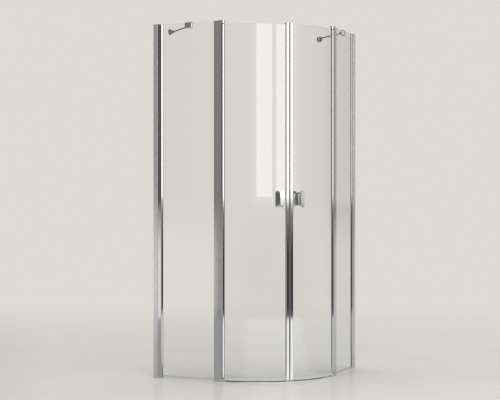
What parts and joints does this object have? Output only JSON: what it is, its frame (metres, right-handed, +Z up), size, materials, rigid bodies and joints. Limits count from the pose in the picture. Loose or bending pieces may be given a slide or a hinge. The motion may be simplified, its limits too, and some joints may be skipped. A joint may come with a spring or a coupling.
{
  "type": "quadrant shower enclosure",
  "caption": "Quarter-round corner shower enclosure: flat glass side panels and curved glass doors that pivot outwards on round stiles and close with magnet strips.",
  "frame": {"origin": "on the floor, in the middle of the square that the walls and the outermost faces of the panels enclose", "axes": "+Z up; the walls are the planes at the lowest X and the highest Y; the doors bulge towards +X and -Y and meet on the diagonal"},
  "size_m": [0.887, 0.887, 1.95],
  "materials": {
    "bright_profile": "bright polished and anodised",
    "chrome": "bright chrome plate",
    "silver_cap": "silver, semi-gloss",
    "clear_glass": "clear toughened glass",
    "clear_seal": "clear soft plastic",
    "grey_gasket": "grey glazing rubber",
    "magnet_seal": "pale grey magnet strip",
    "bush_plastic": "black acetal",
    "steel": "stainless steel"
  },
  "bodies": {
    "enclosure": {"left_wall_channel": "bright_profile", "right_wall_channel": "bright_profile", "left_wall_profile": "bright_profile", "right_wall_profile": "bright_profile", "left_end_profile": "bright_profile", "right_end_profile": "bright_profile", "left_hinge_profile": "bright_profile", "right_hinge_profile": "bright_profile", "left_fixed_glass": "clear_glass", "right_fixed_glass": "clear_glass", "left_fixed_glass_gaskets": "grey_gasket", "right_fixed_glass_gaskets": "grey_gasket", "left_fixed_glass_sill": "clear_seal", "right_fixed_glass_sill": "clear_seal", "left_top_bracket": "chrome", "right_top_bracket": "chrome", "left_bottom_bracket": "chrome", "right_bottom_bracket": "chrome", "left_brace_clamp": "chrome", "right_brace_clamp": "chrome", "left_brace_rod": "chrome", "right_brace_rod": "chrome", "left_brace_rosette": "chrome", "right_brace_rosette": "chrome", "profile_caps": "silver_cap", "adjusting_screws": "steel", "bracket_screws": "steel", "pivot_bushes": "bush_plastic", "brace_screws": "steel", "brace_clamp_pads": "clear_seal", "threshold_ends": "silver_cap", "threshold_strip": "bright_profile"},
    "left_door": {"left_pivot_pins": "steel", "left_door_stile": "bright_profile", "left_stile_gasket": "grey_gasket", "left_door_glass": "clear_glass", "left_closing_profile": "bright_profile", "left_closing_gasket": "grey_gasket", "left_magnet_strip": "magnet_seal", "left_closing_caps": "silver_cap", "left_drip_seal": "clear_seal", "left_outer_handle": "chrome", "left_inner_handle": "chrome", "left_handle_gaskets": "clear_seal", "left_handle_studs": "steel"},
    "right_door": {"right_pivot_pins": "steel", "right_door_stile": "bright_profile", "right_stile_gasket": "grey_gasket", "right_door_glass": "clear_glass", "right_closing_profile": "bright_profile", "right_closing_gasket": "grey_gasket", "right_magnet_strip": "magnet_seal", "right_closing_caps": "silver_cap", "right_drip_seal": "clear_seal", "right_outer_handle": "chrome", "right_inner_handle": "chrome", "right_handle_gaskets": "clear_seal", "right_handle_studs": "steel"}
  },
  "joints": [
    {"name": "left_door_pivot", "type": "hinge", "parent": "enclosure", "child": "left_door", "pos_m": [-0.0335, -0.4325, 0.975], "axis": [0, 0, -1], "range_deg": [0, 100]},
    {"name": "right_door_pivot", "type": "hinge", "parent": "enclosure", "child": "right_door", "pos_m": [0.4325, 0.0335, 0.975], "axis": [0, 0, 1], "range_deg": [0, 100]}
  ]
}
